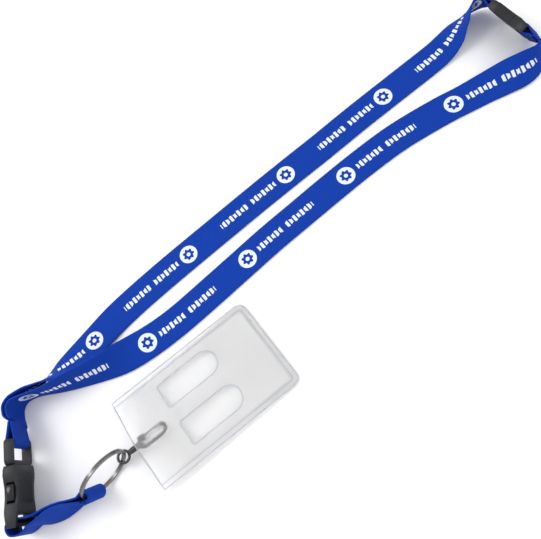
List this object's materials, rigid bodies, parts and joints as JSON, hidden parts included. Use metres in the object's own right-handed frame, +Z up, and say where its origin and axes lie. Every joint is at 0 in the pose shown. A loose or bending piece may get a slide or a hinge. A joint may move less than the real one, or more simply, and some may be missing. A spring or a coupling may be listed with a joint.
{
  "type": "lanyard badge holder",
  "caption": "Flat neck strap with breakaway clasp, side-release buckle, short strap, split ring, swivel trigger clip and frosted card holder.",
  "frame": {"origin": "on the table under the middle of the clasp, buckle, ring, clip and holder together", "axes": "+X from the buckle to the breakaway clasp, +Y from the card holder to the neck strap, +Z up from the table"},
  "size_m": [0.4229, 0.1174, 0.0322],
  "materials": {
    "printed_webbing": "woven polyester, royal blue with a white print",
    "plain_webbing": "woven polyester, royal blue",
    "thread": "blue sewing thread",
    "clasp_plastic": "fine satin black",
    "buckle_plastic": "ribbed charcoal",
    "button_plastic": "polished black",
    "ring_steel": "nickel-plated spring wire",
    "clip_metal": "dark nickel-plated die casting",
    "frosted_vinyl": "frosted translucent sheet"
  },
  "bodies": {
    "neck_strap": {"neck_strap_left": "printed_webbing", "neck_strap_right": "printed_webbing", "neck_strap_plug_fold": "plain_webbing", "neck_strap_join_stitching": "thread", "buckle_plug": "buckle_plastic", "breakaway_plug": "clasp_plastic", "right_clasp_fold": "plain_webbing", "right_clasp_stitching": "thread"},
    "breakaway_half": {"breakaway_socket": "clasp_plastic", "left_clasp_fold": "plain_webbing", "left_clasp_stitching": "thread"},
    "latch_upper": {"buckle_latch_upper": "button_plastic"},
    "latch_lower": {"buckle_latch_lower": "button_plastic"},
    "release_half": {"buckle_socket": "buckle_plastic", "short_strap": "plain_webbing", "short_strap_buckle_fold": "plain_webbing", "short_strap_ring_fold": "plain_webbing", "short_strap_stitching": "thread"},
    "ring": {"split_ring": "ring_steel"},
    "eye": {"clip_eye": "clip_metal"},
    "hook": {"clip_hook": "clip_metal", "clip_gate_pin": "clip_metal", "clip_gate_spring": "clip_metal"},
    "gate": {"clip_gate": "clip_metal"},
    "holder": {"holder_back_panel": "frosted_vinyl", "holder_front_panel": "frosted_vinyl"}
  },
  "joints": [
    {"name": "breakaway_slide", "type": "slide", "parent": "neck_strap", "child": "breakaway_half", "axis": [0, 1, 0], "range_m": [0, 0.01], "deforming": ["neck_strap_left"]},
    {"name": "buckle_slide", "type": "slide", "parent": "neck_strap", "child": "release_half", "axis": [-0.4446, -0.8957, 0], "range_m": [0, 0.028], "deforming": ["buckle_latch_upper", "buckle_latch_lower"]},
    {"name": "latch_upper_press", "type": "hinge", "parent": "neck_strap", "child": "latch_upper", "pos_m": [-0.1918, 0.00999, 0.02088], "axis": [0.8821, -0.4379, -0.1736], "range_deg": [0, 6], "stiffness_Nm_per_rad": 0.05},
    {"name": "latch_lower_press", "type": "hinge", "parent": "neck_strap", "child": "latch_lower", "pos_m": [-0.19429, 0.01122, 0.00512], "axis": [-0.8821, 0.4379, 0.1736], "range_deg": [0, 6], "stiffness_Nm_per_rad": 0.05},
    {"name": "ring_swing", "type": "hinge", "parent": "release_half", "child": "ring", "pos_m": [-0.16363, -0.0294, 0.01272], "axis": [0.2482, 0.0735, -0.9659], "range_deg": [-2, 40]},
    {"name": "clip_swing", "type": "hinge", "parent": "ring", "child": "eye", "pos_m": [-0.1401, -0.0224, 0.0063], "axis": [-0.6396, -0.1895, -0.745], "range_deg": [-2, 25]},
    {"name": "clip_swivel", "type": "hinge", "parent": "eye", "child": "hook", "pos_m": [-0.13216, -0.0224, 0.00532], "axis": [0.9925, 0, -0.1219], "continuous": true},
    {"name": "gate_open", "type": "hinge", "parent": "hook", "child": "gate", "pos_m": [-0.12584, -0.01887, 0.00266], "axis": [-0.1076, -0.4695, -0.8764], "range_deg": [0, 13], "stiffness_Nm_per_rad": 0.01},
    {"name": "holder_swing", "type": "hinge", "parent": "hook", "child": "holder", "pos_m": [-0.11294, -0.022, 0.00361], "axis": [0, 1, 0], "range_deg": [-2, 2]}
  ]
}
